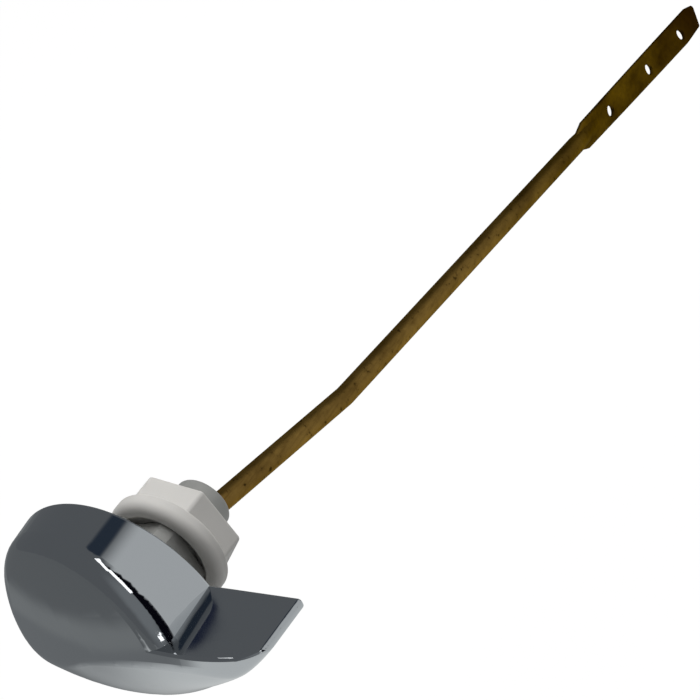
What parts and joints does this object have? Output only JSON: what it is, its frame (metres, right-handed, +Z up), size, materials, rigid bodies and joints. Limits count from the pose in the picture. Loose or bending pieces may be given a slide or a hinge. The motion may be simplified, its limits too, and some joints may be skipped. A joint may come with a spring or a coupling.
{
  "type": "cistern lever",
  "caption": "Side-pointing chromed cistern lever on a through-wall spindle with clamping nut, and a bent brass arm whose flat end has holes for the flush chain.",
  "frame": {"origin": "on the spindle axis, at the outer face of the cistern wall where the bushing's flange seats", "axes": "+Y along the spindle into the cistern, +X to the handle's tail, +Z up"},
  "size_m": [0.0782, 0.3248, 0.0813],
  "materials": {
    "chrome_plate": "polished plate over a casting",
    "die_cast_zinc": "plain satin die casting",
    "screw_steel": "blackened",
    "nut_plastic": "satin moulding",
    "aged_brass": "aged, tarnished"
  },
  "bodies": {
    "bushing": {"bushing": "die_cast_zinc"},
    "lever": {"handle": "chrome_plate", "spindle": "die_cast_zinc", "set_screw": "screw_steel", "arm": "aged_brass"},
    "nut": {"nut": "nut_plastic"}
  },
  "joints": [
    {"name": "lever_turn", "type": "hinge", "parent": "bushing", "child": "lever", "pos_m": [0, 0, 0], "axis": [0, 1, 0], "range_deg": [0, 45]},
    {"name": "nut_travel", "type": "slide", "parent": "bushing", "child": "nut", "axis": [0, 1, 0], "range_m": [-0.0012, 0.008]}
  ]
}
